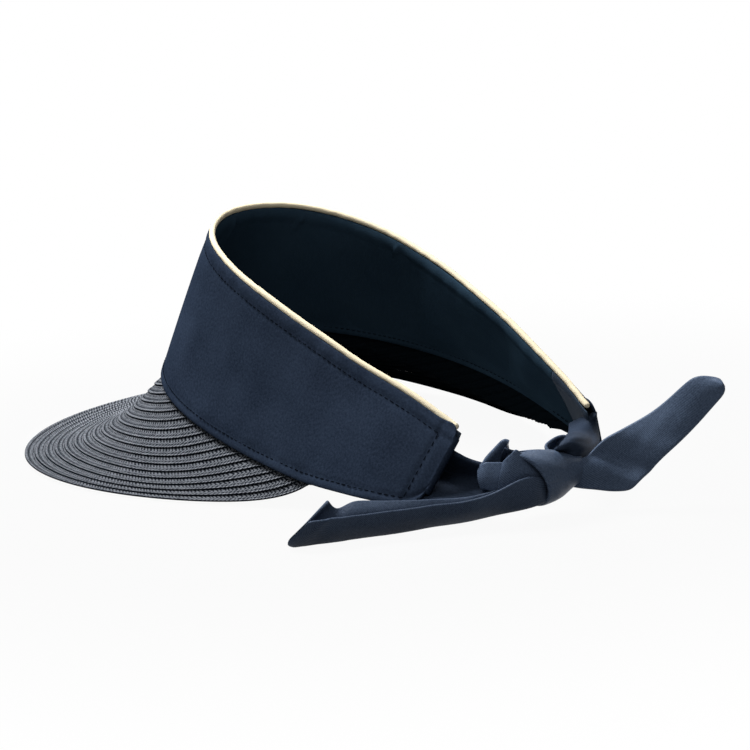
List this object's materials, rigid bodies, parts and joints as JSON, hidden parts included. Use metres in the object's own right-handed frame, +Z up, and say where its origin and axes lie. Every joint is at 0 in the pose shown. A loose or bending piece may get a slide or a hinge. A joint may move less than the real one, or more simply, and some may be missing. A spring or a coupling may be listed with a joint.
{
  "type": "sun visor",
  "caption": "Headband sun visor: open-backed flared fabric band with piped rim, wide sewn-braid peak, and satin ties knotted behind the head with two loose tails.",
  "frame": {"origin": "centre of the bounding box, on the surface the visor lies on", "axes": "+Z up from the surface, -Y towards the front of the peak, +X towards the wearer's left"},
  "size_m": [0.2043, 0.3342, 0.1006],
  "materials": {
    "navy_straw_braid": "woven paper straw, semi-matt",
    "navy_twill": "satin twill",
    "interlining_felt": "matt felt",
    "navy_lining": "smooth satin lining",
    "navy_facing": "satin",
    "cotton_cord": "matt cotton",
    "cream_piping": "matt cotton",
    "navy_satin": "satin"
  },
  "bodies": {
    "visor": {"band_outer": "navy_twill", "band_interlining": "interlining_felt", "band_lining": "navy_lining", "end_facing_left": "navy_facing", "end_facing_right": "navy_facing", "piping_cord": "cotton_cord", "piping_cover": "cream_piping", "piping_seam": "cotton_cord", "braid_row_01": "navy_straw_braid", "braid_row_02": "navy_straw_braid", "braid_row_03": "navy_straw_braid", "braid_row_04": "navy_straw_braid", "braid_row_05": "navy_straw_braid", "braid_row_06": "navy_straw_braid", "braid_row_07": "navy_straw_braid", "braid_row_08": "navy_straw_braid", "braid_row_09": "navy_straw_braid", "braid_row_10": "navy_straw_braid", "braid_row_11": "navy_straw_braid", "braid_row_12": "navy_straw_braid", "braid_row_13": "navy_straw_braid", "braid_row_14": "navy_straw_braid", "braid_row_15": "navy_straw_braid", "braid_row_16": "navy_straw_braid", "braid_row_17": "navy_straw_braid", "braid_row_18": "navy_straw_braid", "braid_row_19": "navy_straw_braid", "braid_row_20": "navy_straw_braid", "braid_row_21": "navy_straw_braid", "strap_left": "navy_satin", "strap_right": "navy_satin", "knot_core": "navy_satin", "knot_wrap": "navy_satin", "knot_loop": "navy_satin"},
    "left_tail": {"tail_left": "navy_satin"},
    "right_tail": {"tail_right": "navy_satin"}
  },
  "joints": [
    {"name": "left_tail_swing", "type": "hinge", "parent": "visor", "child": "left_tail", "pos_m": [0.0263, 0.12656, 0.01517], "axis": [0, 0, 1], "range_deg": [0, 60]},
    {"name": "right_tail_swing", "type": "hinge", "parent": "visor", "child": "right_tail", "pos_m": [-0.0023, 0.12656, 0.01517], "axis": [0, 0, 1], "range_deg": [-60, 30]}
  ]
}
